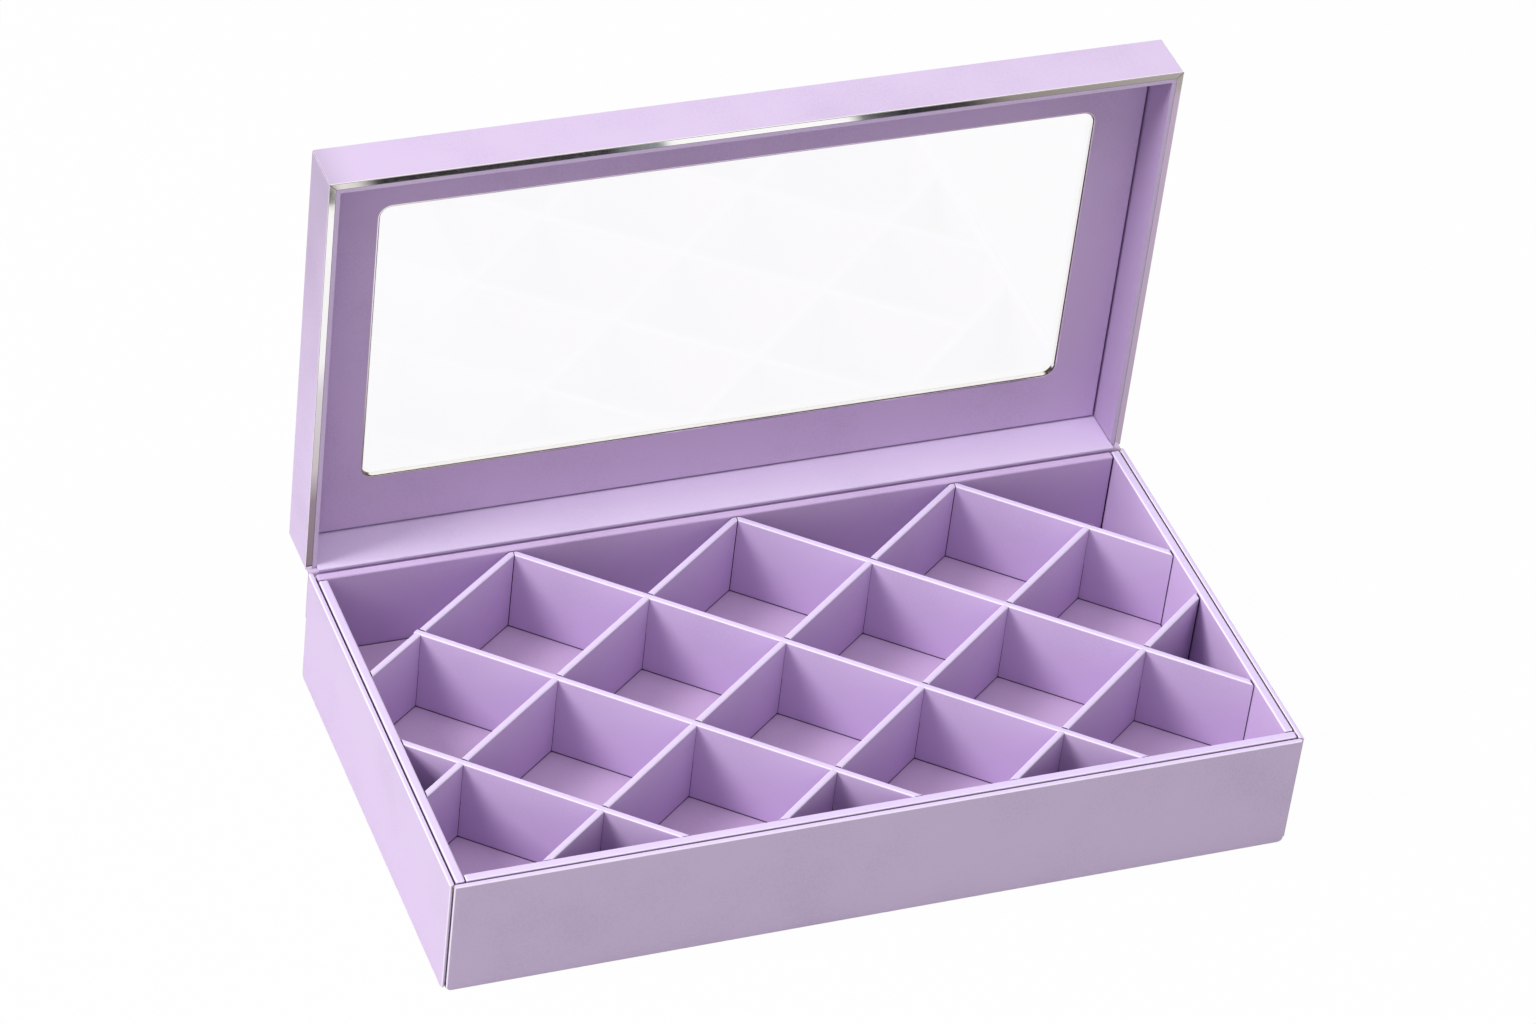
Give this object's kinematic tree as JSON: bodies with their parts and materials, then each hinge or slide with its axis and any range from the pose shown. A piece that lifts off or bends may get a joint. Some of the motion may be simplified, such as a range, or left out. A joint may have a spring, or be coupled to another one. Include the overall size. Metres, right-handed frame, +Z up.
{
  "type": "chocolate_box",
  "caption": "Lavender paper-wrapped chocolate box with a lift-out diagonal divider grid and a hinged lid that holds a framed clear window",
  "frame": {"origin": "centre of the underside of the base", "axes": "X along the front from left to right, Y from front to back, Z up"},
  "size_m": [0.22, 0.134, 0.1509],
  "materials": {
    "outer_paper": "matte",
    "lining_paper": "matte",
    "divider_paper": "matte",
    "grey_board": "matte",
    "hinge_cloth": "matte",
    "bright_metal": "polished",
    "clear_sheet": "gloss"
  },
  "bodies": {
    "base": {"base_back_wall": "outer_paper", "base_bottom_board": "outer_paper", "base_front_wall": "outer_paper", "base_left_wall": "outer_paper", "base_right_wall": "outer_paper", "hinge_base_leaf": "hinge_cloth", "hinge_fold": "hinge_cloth", "inner_floor_panel": "lining_paper", "liner_back": "lining_paper", "liner_front": "lining_paper", "liner_left": "lining_paper", "liner_right": "lining_paper", "riser_back": "grey_board", "riser_front": "grey_board", "riser_left": "grey_board", "riser_middle": "grey_board", "riser_right": "grey_board"},
    "divider_grid": {"divider_a1": "divider_paper", "divider_a2": "divider_paper", "divider_a3": "divider_paper", "divider_a4": "divider_paper", "divider_a5": "divider_paper", "divider_b1": "divider_paper", "divider_b2": "divider_paper", "divider_b3": "divider_paper", "divider_b4": "divider_paper", "divider_b5": "divider_paper"},
    "lid": {"hinge_lid_leaf": "hinge_cloth", "lid_back_wall": "outer_paper", "lid_front_wall": "outer_paper", "lid_inner_panel": "lining_paper", "lid_left_wall": "outer_paper", "lid_right_wall": "outer_paper", "lid_top_panel": "outer_paper", "rim_trim_front": "bright_metal", "rim_trim_left": "bright_metal", "rim_trim_right": "bright_metal", "window_bezel": "bright_metal", "window_pane": "clear_sheet"}
  },
  "joints": [
    {"name": "lid_hinge", "type": "hinge", "parent": "base", "child": "lid", "pos_m": [0, 0.0593, 0.03265], "axis": [-1, 0, 0], "range_deg": [-90, 0]},
    {"name": "divider_lift", "type": "slide", "parent": "base", "child": "divider_grid", "axis": [0, 0, 1], "range_m": [0, 0.011]}
  ]
}
